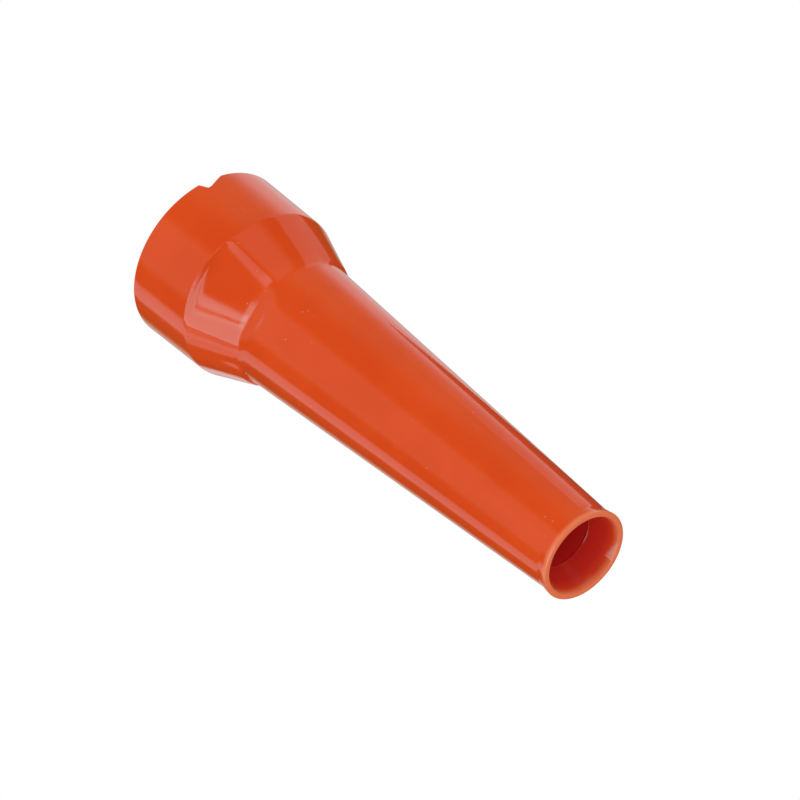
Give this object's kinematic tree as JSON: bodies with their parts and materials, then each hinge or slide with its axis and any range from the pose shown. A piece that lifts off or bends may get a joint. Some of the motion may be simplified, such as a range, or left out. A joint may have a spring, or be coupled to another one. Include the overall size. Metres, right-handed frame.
{
  "type": "twist wire connector",
  "caption": "Twist-on wire connector: tapered orange insulating shell with two grip flats, rim notch and open flared nose, over a conical square-wire grip spring.",
  "frame": {"origin": "centre of the wide rim's face, the plane that the connector stands on", "axes": "+Z along the shell's axis from the wide rim to the open nose; the rim notch lies 38 degrees from +X towards -Y"},
  "size_m": [0.0144, 0.0144, 0.045],
  "materials": {
    "orange_plastic": "glossy as-moulded orange-red plastic with a few dust specks",
    "zinc_plated_steel": "bright zinc-plated square spring wire"
  },
  "bodies": {
    "root": {"shell": "orange_plastic", "grip_spring": "zinc_plated_steel"}
  },
  "joints": []
}
